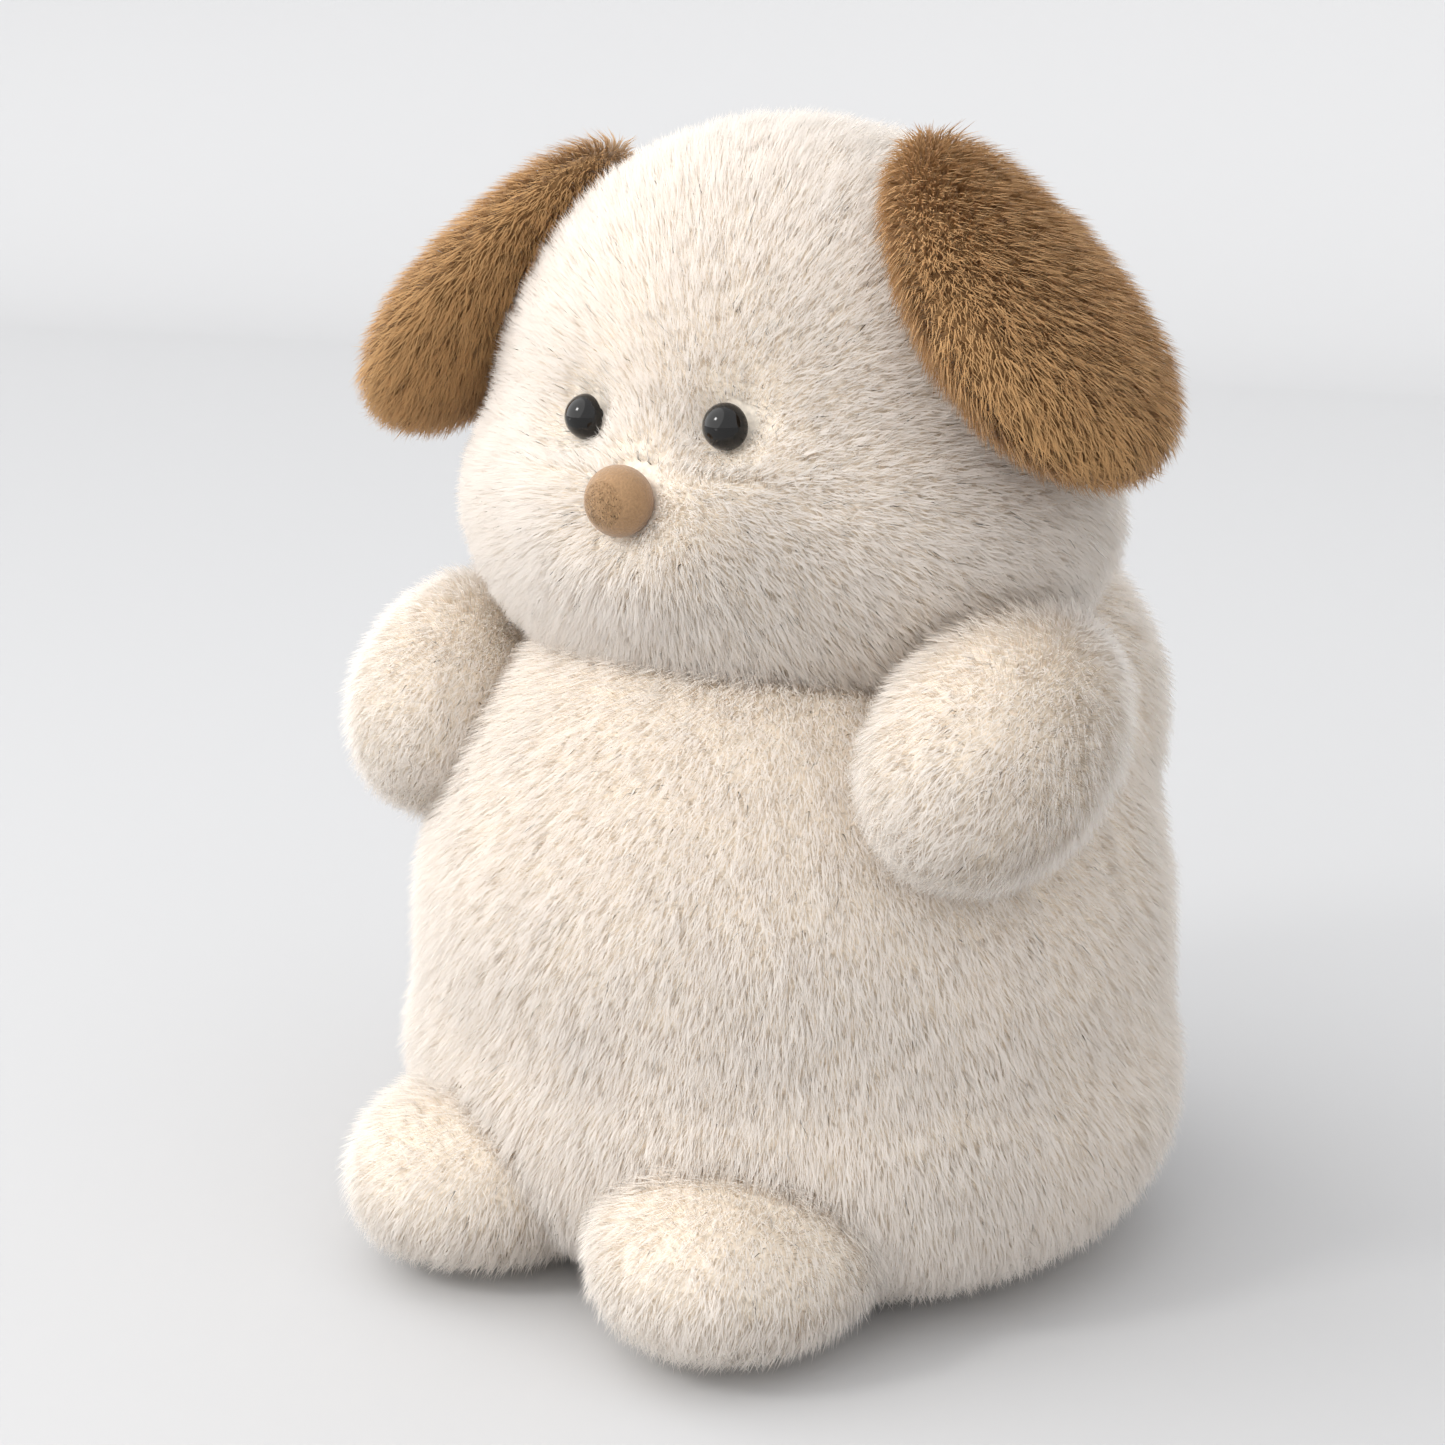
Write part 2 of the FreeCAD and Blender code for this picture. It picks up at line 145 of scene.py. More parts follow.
def turn_matrix(tilt):
    """Turn about X first, then Y, then Z, as a 3 by 3 matrix."""
    x, y, z = np.radians(tilt)
    about_x = np.array([[1, 0, 0], [0, np.cos(x), -np.sin(x)], [0, np.sin(x), np.cos(x)]])
    about_y = np.array([[np.cos(y), 0, np.sin(y)], [0, 1, 0], [-np.sin(y), 0, np.cos(y)]])
    about_z = np.array([[np.cos(z), -np.sin(z), 0], [np.sin(z), np.cos(z), 0], [0, 0, 1]])
    return about_z @ about_y @ about_x


def lobe_value(points, name):
    """Square root of the sum of (coordinate over radius) squared, in the lobe's own frame:
    under 1 inside the lobe, over 1 outside."""
    centre, radii, tilt = LOBES[name]
    own = (points - np.array(centre)) @ turn_matrix(tilt)
    return np.linalg.norm(own / np.array(radii), axis=-1)


def depth_inside(points, names):
    """About how deep, in metres, a point lies inside the nearest of several lobes."""
    deepest = np.full(len(points), -1.0)
    for name in names:
        mean = float(np.mean(LOBES[name][1]))
        deepest = np.maximum(deepest, (1.0 - lobe_value(points, name)) * mean)
    return deepest


def smooth_step(low, high, value):
    """0 below low, 1 above high, and 3t squared less 2t cubed between."""
    share = np.clip((value - low) / (high - low), 0.0, 1.0)
    return share * share * (3.0 - 2.0 * share)


def wave_noise(points, scale, seed):
    """Sum of six sine waves in fixed random directions, about -1 to 1."""
    rng = np.random.default_rng(seed)
    total = np.zeros(len(points))
    for _ in range(6):
        direction = unit(rng.normal(size=3)) * rng.uniform(0.6, 1.6) / scale
        total += np.sin(points @ direction * 2 * np.pi + rng.uniform(0, 2 * np.pi))
    return total / 3.0


def cell_noise(points, cell, seed, count):
    """`count` numbers from 0 to 1 for each point, the same for all points of one cubic cell.
    The cell's whole coordinates are mixed into one number and its sine's far digits kept."""
    whole = np.floor(points / cell)
    mixed = whole @ np.array([127.1, 311.7, 74.7]) + seed * 19.19
    columns = [np.modf(np.abs(np.sin(mixed + 12.9898 * k) * 43758.5453))[0] for k in range(count)]
    return np.stack(columns, axis=1)


def globe_grid(columns, rows):
    """Unit directions on a globe: a pole, rows - 1 rings of `columns` points, a pole; and
    the triangles that join them, facing outwards."""
    polar = np.pi * np.arange(1, rows) / rows
    around = 2 * np.pi * np.arange(columns) / columns
    polar, around = np.meshgrid(polar, around, indexing="ij")
    ring = np.stack([np.sin(polar) * np.cos(around), np.sin(polar) * np.sin(around),
                     np.cos(polar)], axis=-1).reshape(-1, 3)
    points = np.vstack([[0, 0, 1], ring, [0, 0, -1]])
    row, column = np.meshgrid(np.arange(rows - 2), np.arange(columns), indexing="ij")
    here = 1 + row * columns + column
    right = 1 + row * columns + (column + 1) % columns
    below, below_right = here + columns, right + columns
    sides = np.concatenate([np.stack([here, below, below_right], -1).reshape(-1, 3),
                            np.stack([here, below_right, right], -1).reshape(-1, 3)])
    spin = np.arange(columns)
    after = (spin + 1) % columns
    last = 1 + (rows - 2) * columns
    top = np.stack([np.zeros_like(spin), 1 + spin, 1 + after], -1)
    bottom = np.stack([np.full_like(spin, len(points) - 1), last + after, last + spin], -1)
    return points, np.concatenate([top, sides, bottom])


def vertex_normals(points, triangles):
    """Sum of the cross products of the triangles round each point, made unit length."""
    edge_a = points[triangles[:, 1]] - points[triangles[:, 0]]
    edge_b = points[triangles[:, 2]] - points[triangles[:, 0]]
    cross = np.cross(edge_a, edge_b)
    total = np.zeros_like(points)
    for corner in range(3):
        for axis in range(3):
            total[:, axis] += np.bincount(triangles[:, corner], cross[:, axis], len(points))
    return unit(total)


def reach_of_lobe(directions, origin, name, inset):
    """Distance from origin along each direction to the far side of a lobe's ellipsoid, the
    larger root of a quadratic, or 0 where the line misses it."""
    centre, radii, tilt = LOBES[name]
    matrix = turn_matrix(tilt)
    radii = np.array(radii) - inset
    start = ((origin - np.array(centre)) @ matrix) / radii
    along = (directions @ matrix) / radii
    a = np.sum(along ** 2, axis=1)
    b = along @ start
    c = start @ start - 1.0
    inner = b * b - a * c
    return np.where(inner > 0, (-b + np.sqrt(np.maximum(inner, 0))) / a, 0.0).clip(0)


def joined_lobes(names, origin, inset, columns, rows, sharpness=14.0):
    """One closed surface round several lobes seen from a point inside them: the distance
    each way is the smooth largest of the lobes' distances, the p-th root of the sum of
    their p-th powers."""
    directions, triangles = globe_grid(columns, rows)
    origin = np.array(origin)
    reaches = np.stack([reach_of_lobe(directions, origin, name, inset) for name in names])
    largest = reaches.max(axis=0)
    share = np.sum((reaches / largest) ** sharpness, axis=0)
    reach = largest * share ** (1.0 / sharpness)
    spare = 0.35 * (share ** (1.0 / sharpness) - 1.0) * largest
    return origin + directions * (reach - spare)[:, None], triangles


# ---- mesh and material helpers ----

def new_mesh(name, points, triangles, normals=None, uv=None):
    """A mesh object at the origin from arrays; uv has one row for each triangle corner."""
    mesh = bpy.data.meshes.new(name)
    mesh.vertices.add(len(points))
    mesh.vertices.foreach_set("co", np.ascontiguousarray(points, dtype=np.float32).ravel())
    mesh.loops.add(triangles.size)
    mesh.loops.foreach_set("vertex_index", triangles.astype(np.int32).ravel())
    mesh.polygons.add(len(triangles))
    mesh.polygons.foreach_set("loop_start", np.arange(0, triangles.size, 3, dtype=np.int32))
    mesh.update(calc_edges=True)
    mesh.polygons.foreach_set("use_smooth", np.ones(len(triangles), dtype=bool))
    if uv is not None:
        layer = mesh.uv_layers.new(name="OFBake")
        layer.data.foreach_set("uv", np.ascontiguousarray(uv, dtype=np.float32).ravel())
    if normals is not None:
        mesh.normals_split_custom_set_from_vertices(normals.astype(np.float32))
    mesh.update()
    mesh.validate()
    piece = bpy.data.objects.new(name, mesh)
    bpy.context.scene.collection.objects.link(piece)
    return piece


def shader_tree(name):
    """A new material with only a Principled shader and its output."""
    material = bpy.data.materials.new(name)
    material.use_nodes = True
    nodes = material.node_tree.nodes
    nodes.clear()
    output = nodes.new("ShaderNodeOutputMaterial")
    shader = nodes.new("ShaderNodeBsdfPrincipled")
    material.node_tree.links.new(shader.outputs[0], output.inputs[0])
    return material, nodes, material.node_tree.links, shader, output


def rgba(value):
    """A colour with full alpha."""
    return (*value, 1.0)


def pile_material(name, root, tip, see_through, sheen):
    """Fibres: root colour to tip colour along each strand, the darker roots being painted shade
    deep in the pile, made lighter or darker from strand to strand, with part of the light passing
    through."""
    material, nodes, links, shader, output = shader_tree(name)
    strand = nodes.new("ShaderNodeUVMap")
    strand.uv_map = "OFBake"
    split = nodes.new("ShaderNodeSeparateXYZ")
    links.new(strand.outputs[0], split.inputs[0])
    # The ramp darkens towards the root: painted shade deep in the pile.
    along = nodes.new("ShaderNodeValToRGB")
    along.color_ramp.elements[0].color = rgba(root)
    along.color_ramp.elements[1].color = rgba(tip)
    along.color_ramp.elements[1].position = 0.55
    links.new(split.outputs["Y"], along.inputs[0])
    tint = nodes.new("ShaderNodeMapRange")
    tint.inputs["To Min"].default_value = 0.93
    tint.inputs["To Max"].default_value = 1.02
    links.new(split.outputs["X"], tint.inputs["Value"])
    shade = nodes.new("ShaderNodeVectorMath")
    shade.operation = "SCALE"
    links.new(along.outputs[0], shade.inputs[0])
    links.new(tint.outputs[0], shade.inputs["Scale"])
    links.new(shade.outputs[0], shader.inputs["Base Color"])
    shader.inputs["Roughness"].default_value = 0.72
    shader.inputs["Specular IOR Level"].default_value = 0.25
    shader.inputs["Sheen Weight"].default_value = sheen
    shader.inputs["Sheen Roughness"].default_value = 0.5
    through = nodes.new("ShaderNodeBsdfTranslucent")
    links.new(shade.outputs[0], through.inputs["Color"])
    mix = nodes.new("ShaderNodeMixShader")
    mix.inputs[0].default_value = see_through
    links.new(shader.outputs[0], mix.inputs[1])
    links.new(through.outputs[0], mix.inputs[2])
    links.new(mix.outputs[0], output.inputs[0])
    return material


def cover_material(name, ground_with_painted_shade, scale):
    """Knitted backing under the pile, in the darker root colour that is painted shade deep in the
    pile: fine mottling and a small bump.
    """
    material, nodes, links, shader, _ = shader_tree(name)
    place = nodes.new("ShaderNodeTexCoord")
    grain = nodes.new("ShaderNodeTexNoise")
    grain.inputs["Scale"].default_value = scale
    grain.inputs["Detail"].default_value = 6.0
    links.new(place.outputs["Object"], grain.inputs["Vector"])
    ramp = nodes.new("ShaderNodeValToRGB")
    ramp.color_ramp.elements[0].color = rgba([channel * 0.72 for channel in ground_with_painted_shade])
    ramp.color_ramp.elements[0].position = 0.3
    ramp.color_ramp.elements[1].color = rgba(ground_with_painted_shade)
    ramp.color_ramp.elements[1].position = 0.7
    links.new(grain.outputs[0], ramp.inputs[0])
    links.new(ramp.outputs[0], shader.inputs["Base Color"])
    bump = nodes.new("ShaderNodeBump")
    bump.inputs["Strength"].default_value = 0.6
    bump.inputs["Distance"].default_value = 0.0006
    links.new(grain.outputs[0], bump.inputs["Height"])
    links.new(bump.outputs[0], shader.inputs["Normal"])
    shader.inputs["Roughness"].default_value = 0.9
    shader.inputs["Sheen Weight"].default_value = 0.3
    return material


def plain_material(name, base, roughness, coat):
    """Moulded plastic or fibre: one colour with faint mottling and a fine bump."""
    material, nodes, links, shader, _ = shader_tree(name)
    place = nodes.new("ShaderNodeTexCoord")
    grain = nodes.new("ShaderNodeTexNoise")
    grain.inputs["Scale"].default_value = 900.0
    grain.inputs["Detail"].default_value = 3.0
    links.new(place.outputs["Object"], grain.inputs["Vector"])
    ramp = nodes.new("ShaderNodeValToRGB")
    ramp.color_ramp.elements[0].color = rgba([channel * 0.9 for channel in base])
    ramp.color_ramp.elements[1].color = rgba(base)
    links.new(grain.outputs[0], ramp.inputs[0])
    links.new(ramp.outputs[0], shader.inputs["Base Color"])
    bump = nodes.new("ShaderNodeBump")
    bump.inputs["Strength"].default_value = 0.04
    bump.inputs["Distance"].default_value = 0.0001
    links.new(grain.outputs[0], bump.inputs["Height"])
    links.new(bump.outputs[0], shader.inputs["Normal"])
    shader.inputs["Roughness"].default_value = roughness
    shader.inputs["Specular IOR Level"].default_value = 0.2
    shader.inputs["Coat Weight"].default_value = coat
    shader.inputs["Coat Roughness"].default_value = 0.03
    return material


def material_of(name, make):
    """The named material, made on first use."""
    return bpy.data.materials.get(name) or make(name)


def cream_pile():
    """The pile of body, head and limbs: pale, and more see-through than the brown."""
    tones = bpy.context.scene.plush_colours
    return material_of("cream_pile", lambda name: pile_material(
        name, tones.cream_root_painted_shade, tones.cream_tip, 0.60, 0.15))


def brown_pile():
    """The pile of the ears."""
    tones = bpy.context.scene.plush_colours
    return material_of("brown_pile", lambda name: pile_material(
        name, tones.brown_root_painted_shade, tones.brown_tip, 0.30, 0.25))


def nose_nap():
    """The short velour nap of the nose."""
    tones = bpy.context.scene.plush_colours
    return material_of("nose_nap", lambda name: pile_material(
        name, tones.nose_root_painted_shade, tones.nose_tip, 0.25, 0.4))


def cream_cloth():
    """The backing under the cream pile."""
    ground_with_painted_shade = bpy.context.scene.plush_colours.cream_root_painted_shade
    return material_of("cream_cloth", lambda name: cover_material(name, ground_with_painted_shade, 700.0))


def brown_cloth():
    """The backing under the brown pile."""
    ground_with_painted_shade = bpy.context.scene.plush_colours.brown_root_painted_shade
    return material_of("brown_cloth", lambda name: cover_material(name, ground_with_painted_shade, 700.0))


def nose_cloth():
    """The ground of the nose's velour, of a finer knit."""
    ground_with_painted_shade = bpy.context.scene.plush_colours.nose_root_painted_shade
    return material_of("nose_ground", lambda name: cover_material(name, ground_with_painted_shade, 1500.0))


# ---- pile ----

STRAY = 0.24                # sideways scatter of a strand's combed direction
TUFT_STRAY = 0.14           # the same, shared by the strands of one tuft
ROOT_SINK = 0.0006          # how far a root lies under the cloth
KNEE_SHARE = 0.45           # of a strand's length, up to its bend
KNEE_WIDTH = 0.82           # of the root's width
TIP_CLEAR = 0.0004          # least height over the table
KNEE_CLEAR = 0.0006


def scatter(points, triangles, count, rng):
    """Random places on a surface, as many to a square millimetre everywhere: triangles are
    drawn by area, and a place in one by two random shares. Gives places and normals."""
    edge_a = points[triangles[:, 1]] - points[triangles[:, 0]]
    edge_b = points[triangles[:, 2]] - points[triangles[:, 0]]
    area = np.linalg.norm(np.cross(edge_a, edge_b), axis=1)
    heap = np.cumsum(area)
    chosen = np.searchsorted(heap, rng.random(count) * heap[-1]).clip(0, len(triangles) - 1)
    first, second = rng.random(count), rng.random(count)
    over = first + second > 1
    first[over], second[over] = 1 - first[over], 1 - second[over]
    weights = np.stack([1 - first - second, first, second], axis=1)
    corners = triangles[chosen]
    normals = vertex_normals(points, triangles)
    places = np.einsum("ij,ijk->ik", weights, points[corners])
    return places, unit(np.einsum("ij,ijk->ik", weights, normals[corners]))


def grow_pile(places, normals, combed, lengths, width, rng, tone, clump=0.0045, lean=0.85):
    """Points, triangles, shading normals and strand coordinates of the pile. Each strand is
    a tapering ribbon of two joints: it leaves along the normal, bends towards the combed
    direction, and its tip is drawn to the middle of its clump's cell. The ribbon's width
    is square to its own direction and to the normal."""
    count = len(places)
    cell = cell_noise(places, clump, 3, 5)
    fine = cell_noise(places, clump * 0.42, 5, 3)
    middle = (np.floor(places / clump) + 0.5 + 0.5 * (cell[:, :3] - 0.5)) * clump
    pull = middle - places
    pull -= np.sum(pull * normals, axis=1, keepdims=True) * normals
    stray = rng.normal(size=(count, 3)) * STRAY + (fine - 0.5) * STRAY
    combed = combed + stray + (cell[:, 2:5] - 0.5) * TUFT_STRAY
    combed -= np.sum(combed * normals, axis=1, keepdims=True) * normals
    combed = unit(combed)
    lengths = lengths * (0.72 + 0.42 * rng.random(count)) * (0.90 + 0.22 * cell[:, 3])
    lean = lean * (0.75 + 0.5 * rng.random(count))
    rise = unit(normals + combed * (0.35 * lean)[:, None])
    fall = unit(normals * 0.62 + combed * lean[:, None] + pull / clump * 0.12)
    root = places - normals * ROOT_SINK
    knee = root + rise * (lengths * KNEE_SHARE)[:, None]
    tip = knee + fall * (lengths * (1 - KNEE_SHARE))[:, None]
    tip[:, 2] = np.maximum(tip[:, 2], TIP_CLEAR)
    knee[:, 2] = np.maximum(knee[:, 2], KNEE_CLEAR)
    across = unit(np.cross(tip - root, normals) + rng.normal(size=(count, 3)) * 0.0022)
    half = width * (0.75 + 0.5 * rng.random(count))[:, None] / 2
    side, knee_side = across * half, across * half * KNEE_WIDTH
    points = np.stack([root - side, root + side, knee + knee_side, knee - knee_side, tip],
                      axis=1).reshape(-1, 3)
    start = 5 * np.arange(count)[:, None]
    pattern = np.array([[0, 1, 2], [0, 2, 3], [3, 2, 4]])
    triangles = (start[:, None, :] + pattern[None]).reshape(-1, 3)
    face = unit(np.cross(across, tip - root))
    face *= np.sign(np.sum(face * normals, axis=1, keepdims=True) + 1e-9)
    shading = unit(normals * 0.85 + face * 0.25)
    shade = np.repeat(shading[:, None, :], 5, axis=1).reshape(-1, 3)
    u = np.clip(tone + (cell[:, 4] - 0.5) * 0.10 + rng.normal(size=count) * 0.08, 0.02, 0.98)
    sides = np.array([-1, 1, 1, -1, 0]) * 0.0015
    along = np.array([0.0, 0.0, 0.48, 0.48, 1.0])
    strand_uv = np.stack([u[:, None] + sides, np.broadcast_to(along, (count, 5))], axis=-1)
    uv = strand_uv.reshape(-1, 2)[triangles.ravel()]
    return points, triangles, shade, uv


def pile_piece(name, body, material, places, normals, combed, lengths, tone, rng, slot,
               width=None, **style):
    """One piece of pile that rides on a body."""
    width = width or bpy.context.scene.plush_pile.strand_width
    points, triangles, shade, uv = grow_pile(places, normals, combed, lengths, width, rng, tone,
                                             **style)
    piece = new_mesh(name, points, triangles, shade, uv)
    piece.data.materials.append(material)
    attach(piece, body)


def strand_count(full):
    """The full number of strands, or the share of it that is asked for."""
    share = bpy.context.scene.plush_pile.density * 1.0
    return int(full * share)


def shorten_low(places):
    """Pile length factor: whole above the table, falling to half at its very edge."""
    return 1.0 - 0.5 * smooth_step(SHORT_PILE_HEIGHT, FLAT_AT, places[:, 2])


def eye_centre(node):
    """Middle of an eye's box in the frame."""
    low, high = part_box(node)
    return (np.array(low) + np.array(high)) / 2


def cover(name, points, triangles, material, body, replaced):
    """A stuffed cover that stands for its CAD panels and filling."""
    piece = new_mesh(name, points, triangles)
    piece.data.materials.append(material)
    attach(piece, body)
    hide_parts(*replaced)


# ---- body ----

def torso_surface(inset):
    """Belly, seat and upper back as one surface. The hips swell out by up to 8% of their
    distance from the middle near the table, the front of the waist draws in by 3%, both as
    bell curves of height, and heights under FLAT_BELOW fall off as an exponential to FLAT_AT."""
    points, triangles = joined_lobes(TORSO_LOBES, (0, 0.015, 0.095), inset, 160, 120)
    height = points[:, 2]
    middle = np.array([0, LOBES["belly"][0][1]])
    swell = 0.08 * np.exp(-((height - HIP_HEIGHT) / 0.022) ** 2)
    swell -= 0.03 * np.exp(-((height - WAIST_HEIGHT) / 0.030) ** 2) * (points[:, 1] < 0.02)
    points[:, :2] = middle + (points[:, :2] - middle) * (1 + swell)[:, None]
    low = height < FLAT_BELOW
    press = FLAT_BELOW - FLAT_AT
    points[low, 2] = FLAT_AT + press * np.exp((height[low] - FLAT_BELOW) / press)
    return points, triangles


def torso_comb(places):
    """The pile lies down the body and a little outwards from the middle line."""
    outward = places - np.array([0, 0.013, 0.0])
    outward[:, 2] = 0
    return unit(np.array([0, 0, -1.0]) + 0.25 * unit(outward))


class PLUSH_OT_body(bpy.types.Operator):
    """Make the body's cover and its pile, one piece for each stretch of its panels"""
    bl_idname = "plush.body"
    bl_label = "Body"

    def execute(self, context):
        pile = context.scene.plush_pile
        points, triangles = torso_surface(pile.cover_inset)
        cover("body_cover", points, triangles, cream_cloth(), "torso",
              ("body_front_panel", "body_back_left_panel", "body_back_right_panel",
               "body_base_panel", "body_stuffing"))
        rng = np.random.default_rng(11)
        places, normals = scatter(points, triangles, strand_count(BODY_STRANDS), rng)
        others = np.maximum(depth_inside(places, HEAD_LOBES),
                            depth_inside(places, ("left_arm", "right_arm", "left_leg", "right_leg")))
        keep = others < 0.002 + 0.003 * rng.random(len(places))
        under = places[:, 2] < 0.004
        keep &= ~under | (rng.random(len(places)) < 0.2)
        places, normals = places[keep], normals[keep]
        azimuth = np.degrees(np.arctan2(places[:, 0], -(places[:, 1] - 0.013)))
        front = np.abs(azimuth) < FRONT_PANEL_HALF_ANGLE
        upper = places[:, 2] > CHEST_HEIGHT
        stretches = (
            ("body_pile_front_upper", front & upper),
            ("body_pile_front_lower", front & ~upper),
            ("body_pile_back_left", ~front & (azimuth > 0)),
            ("body_pile_back_right", ~front & (azimuth <= 0)),
        )
        for name, chosen in stretches:
            spot = places[chosen][:MOST_STRANDS]
            normal = normals[chosen][:MOST_STRANDS]
            lengths = pile.body_length * shorten_low(spot)
            tone = 0.55 + 0.18 * wave_noise(spot, 0.05, 2)
            pile_piece(name, "torso", cream_pile(), spot, normal, torso_comb(spot), lengths, tone,
                       rng, "cream_plush")
        return {"FINISHED"}


# ---- head ----

def head_surface(inset):
    """Skull and cheeks as one surface, 3.5% wider at the cheeks. Bell curves of the distance
    press in a shallow dimple behind each eye and a second one inward of it, raise a low ring
    round the nose, and sink the place that the nose sits on."""
    points, triangles = joined_lobes(HEAD_LOBES, (0, 0.010, 0.222), inset, 170, 130)
    points[:, 0] *= 1 + 0.035 * np.exp(-((points[:, 2] - 0.212) / 0.030) ** 2)
    normals = vertex_normals(points, triangles)
    push = np.zeros(len(points))
    for eye in EYES:
        centre = eye_centre(eye)
        gap = np.linalg.norm((points - centre) * (1, 0.5, 1), axis=1)
        push -= 0.0036 * np.exp(-(gap / 0.010) ** 2)
        inner = centre + np.array([-0.35 * centre[0], 0, -0.006])
        gap = np.linalg.norm((points - inner) * (1, 0.5, 1), axis=1)
        push -= 0.0018 * np.exp(-(gap / 0.009) ** 2)
    nose = np.array(LOBES["nose"][0])
    gap = np.linalg.norm((points - nose) * (0.8, 0.5, 1), axis=1)
    push += 0.0030 * np.exp(-((gap - 0.020) / 0.012) ** 2) * (points[:, 2] < nose[2] + 0.006)
    push -= 0.0022 * np.exp(-(gap / 0.012) ** 2)
    return points + normals * push[:, None], triangles


def head_comb(places):
    """The pile runs away from the nose, and turns downwards on the cheeks and the back."""
    away = unit(places - np.array(LOBES["nose"][0]))
    behind = smooth_step(-0.03, 0.03, places[:, 1])[:, None]
    down = np.array([0, 0, -1.0])
    return unit(away * (1 - 0.6 * behind) + down * (0.25 + 0.75 * behind))


class PLUSH_OT_head(bpy.types.Operator):
    """Make the head's cover with its eye dimples, and its pile"""
    bl_idname = "plush.head"
    bl_label = "Head"

    def execute(self, context):
        pile = context.scene.plush_pile
        points, triangles = head_surface(pile.cover_inset)
        cover("head_cover", points, triangles, cream_cloth(), "head",
              ("head_face_panel", "head_left_panel", "head_right_panel", "head_back_panel",
               "head_stuffing"))
        rng = np.random.default_rng(12)
        places, normals = scatter(points, triangles, strand_count(HEAD_STRANDS), rng)
        hidden = depth_inside(places, TORSO_LOBES)
        keep = hidden < 0.003 + 0.004 * rng.random(len(places))
        keep &= depth_inside(places, ("left_ear", "right_ear")) < 0.004
        comb = head_comb(places)
        shorten = np.ones(len(places))
        behind = places[:, 1] > 0
        for eye in EYES:
            offset = places - eye_centre(eye)
            gap = np.linalg.norm(offset * (1, 0.0, 1), axis=1)
            gap[behind] = 1.0
            keep &= gap > EYE_CLEAR
            near = np.exp(-(np.maximum(gap - 0.006, 0) / 0.006) ** 2)
            shorten *= 1 - 0.45 * near
            comb += 1.6 * near[:, None] * unit(offset)
        nose = np.array(LOBES["nose"][0])
        offset = places - nose
        gap = np.linalg.norm(offset * (1, 0.0, 1), axis=1)
        gap[behind] = 1.0
        keep &= gap > NOSE_CLEAR
        shorten *= 1 - 0.35 * np.exp(-(np.maximum(gap - NOSE_CLEAR, 0) / 0.006) ** 2)
        places, normals, comb, shorten = places[keep], normals[keep], comb[keep], shorten[keep]
        azimuth = np.degrees(np.arctan2(places[:, 0], -(places[:, 1] + 0.002)))
        front = np.abs(azimuth) < FACE_PANEL_HALF_ANGLE
        stretches = (
            ("head_pile_face", front),
            ("head_pile_left", ~front & (azimuth > 0)),
            ("head_pile_right", ~front & (azimuth <= 0)),
        )
        for name, chosen in stretches:
            spot = np.flatnonzero(chosen)[:MOST_STRANDS]
            lengths = pile.face_length * shorten[spot]
            tone = 0.62 + 0.15 * wave_noise(places[spot], 0.05, 4)
            pile_piece(name, "head", cream_pile(), places[spot], normals[spot], comb[spot],
                       lengths, tone, rng, "cream_plush", lean=0.8)
        return {"FINISHED"}


class PLUSH_OT_eyes(bpy.types.Operator):
    """Give the eyes, their washers, the threads and the pellets their own materials"""
    bl_idname = "plush.eyes"
    bl_label = "Eyes and inner pieces"

    def execute(self, context):
        finishes = {
            "eye_left": ("eye_black", (0.006, 0.0055, 0.005), 0.10, 0.35),
            "eye_right": ("eye_black", (0.006, 0.0055, 0.005), 0.10, 0.35),
            "eye_washer_left": ("washer_white", (0.78, 0.78, 0.75), 0.45, 0.0),
            "eye_washer_right": ("washer_white", (0.78, 0.78, 0.75), 0.45, 0.0),
            "eye_pull_thread": ("sewing_thread", (0.80, 0.74, 0.64), 0.7, 0.0),
            "back_closing_thread": ("sewing_thread", (0.80, 0.74, 0.64), 0.7, 0.0),
            "neck_gather_thread": ("sewing_thread", (0.80, 0.74, 0.64), 0.7, 0.0),
            "pellet_bag": ("bag_weave", (0.72, 0.72, 0.69), 0.85, 0.0),
            "pellet_fill": ("pellet_white", (0.82, 0.82, 0.80), 0.5, 0.0),
        }
        for name, (finish, base, roughness, coat) in finishes.items():
            material = material_of(finish, lambda n: plain_material(n, base, roughness, coat))
            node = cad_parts[name]
            node.data.materials.clear()
            node.data.materials.append(material)
        return {"FINISHED"}


class PLUSH_OT_nose(bpy.types.Operator):
    """Make the round velour nose and its short nap"""
    bl_idname = "plush.nose"
    bl_label = "Nose"

    def execute(self, context):
        pile = context.scene.plush_pile
        directions, triangles = globe_grid(72, 48)
        centre, radii, _ = LOBES["nose"]
        points = np.array(centre) + directions * (np.array(radii) - 0.0006)
        cover("nose_ball", points, triangles, nose_cloth(), "head",
              ("nose_cover", "nose_stuffing"))
        rng = np.random.default_rng(13)
        places, normals = scatter(points, triangles, strand_count(NOSE_STRANDS), rng)
        keep = places[:, 1] < NAP_FRONT
        places, normals = places[keep], normals[keep]
        comb = np.broadcast_to(np.array([0.3, 0.0, -1.0]), places.shape)
        tone = 0.5 + 0.3 * wave_noise(places, 0.012, 6)
        lengths = np.full(len(places), pile.nap_length)
        pile_piece("nose_nap", "head", nose_nap(), places, normals, comb, lengths, tone, rng,
                   "nose_velour", width=0.00022, clump=0.0015, lean=0.6)
        return {"FINISHED"}


# ---- limbs and ears ----

